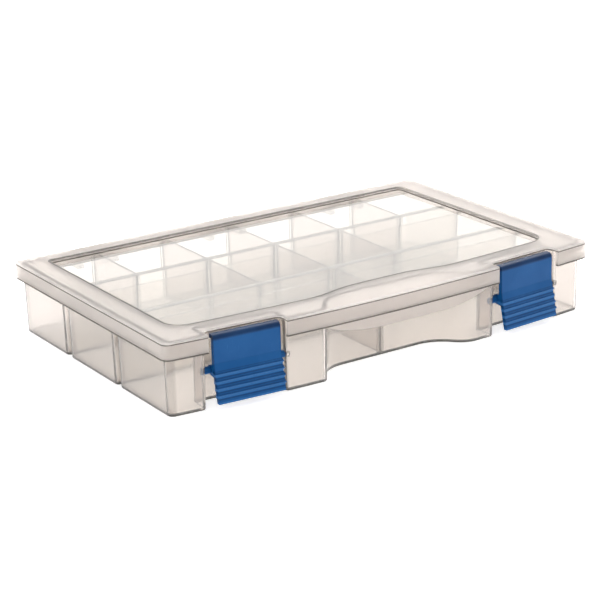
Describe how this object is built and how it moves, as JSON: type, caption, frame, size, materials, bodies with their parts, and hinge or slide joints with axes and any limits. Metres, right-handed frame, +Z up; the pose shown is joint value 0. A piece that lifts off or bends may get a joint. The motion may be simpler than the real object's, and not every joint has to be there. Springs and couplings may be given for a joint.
{
  "type": "tackle box",
  "caption": "Flat see-through tackle box with a hinged lid, sunken window, upright dividers, a finger recess and swinging snap latches.",
  "frame": {"origin": "on the flat underside of the tray, midway between its ends and between the lid's back edge and its front corners", "axes": "+X along the box to the right seen from the front, +Y from front to back, +Z up"},
  "size_m": [0.279, 0.1856, 0.0419],
  "materials": {
    "frosted_tray": "translucent moulded plastic, softly frosted",
    "clear_lid": "clear moulded plastic, frosted rim and glossy window",
    "clear_divider": "thin translucent moulded plate",
    "blue_latch": "satin moulded blue"
  },
  "bodies": {
    "tray": {"tray": "frosted_tray", "divider_back_1": "clear_divider", "divider_back_2": "clear_divider", "divider_back_3": "clear_divider", "divider_back_4": "clear_divider", "divider_back_5": "clear_divider", "divider_middle_1": "clear_divider", "divider_middle_2": "clear_divider", "divider_middle_3": "clear_divider", "divider_front": "clear_divider"},
    "lid": {"lid": "clear_lid"},
    "latch_left": {"latch_left": "blue_latch"},
    "latch_right": {"latch_right": "blue_latch"}
  },
  "joints": [
    {"name": "lid_hinge", "type": "hinge", "parent": "tray", "child": "lid", "pos_m": [0, 0.0886, 0.0342], "axis": [-1, 0, 0], "range_deg": [0, 180]},
    {"name": "latch_left_pivot", "type": "hinge", "parent": "tray", "child": "latch_left", "pos_m": [-0.09197, -0.08301, 0.0206], "axis": [0.9971, -0.0758, 0], "range_deg": [0, 50]},
    {"name": "latch_right_pivot", "type": "hinge", "parent": "tray", "child": "latch_right", "pos_m": [0.09197, -0.08301, 0.0206], "axis": [0.9971, 0.0758, 0], "range_deg": [0, 50]}
  ]
}
